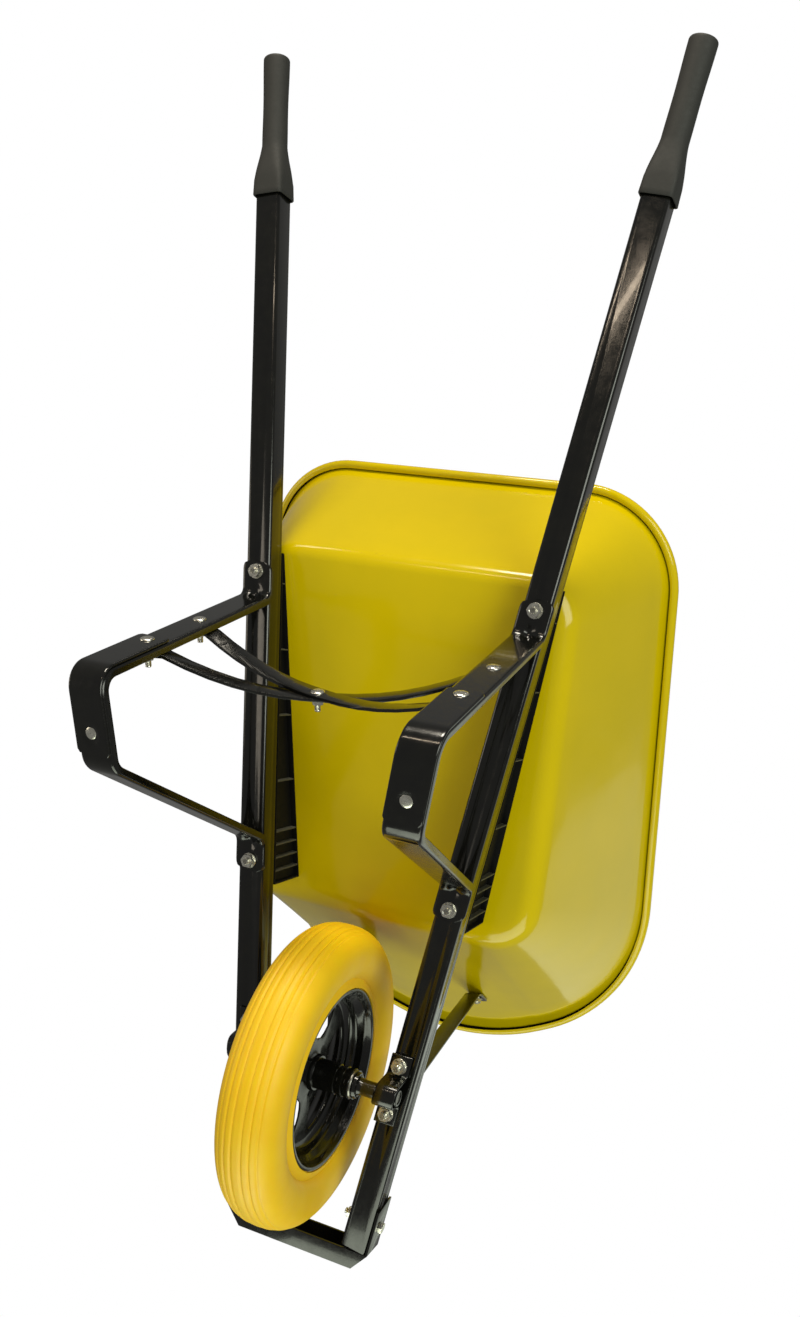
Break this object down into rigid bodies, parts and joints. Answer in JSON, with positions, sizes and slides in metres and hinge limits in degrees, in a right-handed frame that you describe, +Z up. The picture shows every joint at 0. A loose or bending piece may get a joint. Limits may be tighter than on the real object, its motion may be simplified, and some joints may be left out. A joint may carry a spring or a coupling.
{
  "type": "wheelbarrow",
  "caption": "Contractor wheelbarrow: deep steel tray on splayed square-tube handles, foam-filled front wheel, bent strap legs with crossed braces and a nose guard.",
  "frame": {"origin": "on the ground, under the middle of the overall box, barrow parked on its wheel and two leg shoes", "axes": "+Z up, +Y from the wheel towards the grips, +X along the axle to the left-named side"},
  "size_m": [0.6894, 1.6046, 0.7429],
  "materials": {
    "yellow_enamel": "gloss baked enamel",
    "black_enamel": "gloss black enamel",
    "yellow_foam": "satin polyurethane foam",
    "grip_rubber": "matte moulded grip",
    "black_plastic": "ribbed moulding",
    "zinc_plate": "bright zinc plating",
    "bearing_steel": "turned steel"
  },
  "bodies": {
    "frame": {"axle": "bearing_steel", "axle_bracket_left": "black_enamel", "axle_bracket_right": "black_enamel", "axle_sleeve_left": "black_enamel", "axle_sleeve_right": "black_enamel", "brace_bolt_lower_left": "zinc_plate", "brace_bolt_lower_right": "zinc_plate", "brace_bolt_upper_left": "zinc_plate", "brace_bolt_upper_right": "zinc_plate", "brace_nut_lower_left": "zinc_plate", "brace_nut_lower_right": "zinc_plate", "brace_nut_upper_left": "zinc_plate", "brace_nut_upper_right": "zinc_plate", "bracket_bolt_front_left": "zinc_plate", "bracket_bolt_front_right": "zinc_plate", "bracket_bolt_rear_left": "zinc_plate", "bracket_bolt_rear_right": "zinc_plate", "cross_bolt": "zinc_plate", "cross_brace_lower": "black_enamel", "cross_brace_upper": "black_enamel", "cross_nut": "zinc_plate", "grip_left": "grip_rubber", "grip_right": "grip_rubber", "handle_left": "black_enamel", "handle_right": "black_enamel", "leg_left": "black_enamel", "leg_right": "black_enamel", "leg_shoe_left": "black_enamel", "leg_shoe_right": "black_enamel", "nose_bolt_left": "zinc_plate", "nose_bolt_right": "zinc_plate", "nose_guard": "black_enamel", "riser_left": "black_plastic", "riser_right": "black_plastic", "shoe_bolt_left": "zinc_plate", "shoe_bolt_right": "zinc_plate", "shoe_nut_left": "zinc_plate", "shoe_nut_right": "zinc_plate", "stay_bolt_left": "zinc_plate", "stay_bolt_right": "zinc_plate", "tray": "yellow_enamel", "tray_bolt_front_left": "zinc_plate", "tray_bolt_front_right": "zinc_plate", "tray_bolt_rear_left": "zinc_plate", "tray_bolt_rear_right": "zinc_plate", "tray_nut_front_left": "zinc_plate", "tray_nut_front_right": "zinc_plate", "tray_nut_rear_left": "zinc_plate", "tray_nut_rear_right": "zinc_plate", "tray_stay_left": "black_enamel", "tray_stay_right": "black_enamel"},
    "wheel": {"tyre": "yellow_foam", "rim": "black_enamel", "hub": "black_enamel", "bearing_left": "bearing_steel", "bearing_right": "bearing_steel", "grease_nipple": "zinc_plate"}
  },
  "joints": [
    {"name": "wheel_spin", "type": "hinge", "parent": "frame", "child": "wheel", "pos_m": [0, -0.5373, 0.2], "axis": [1, 0, 0], "continuous": true}
  ]
}
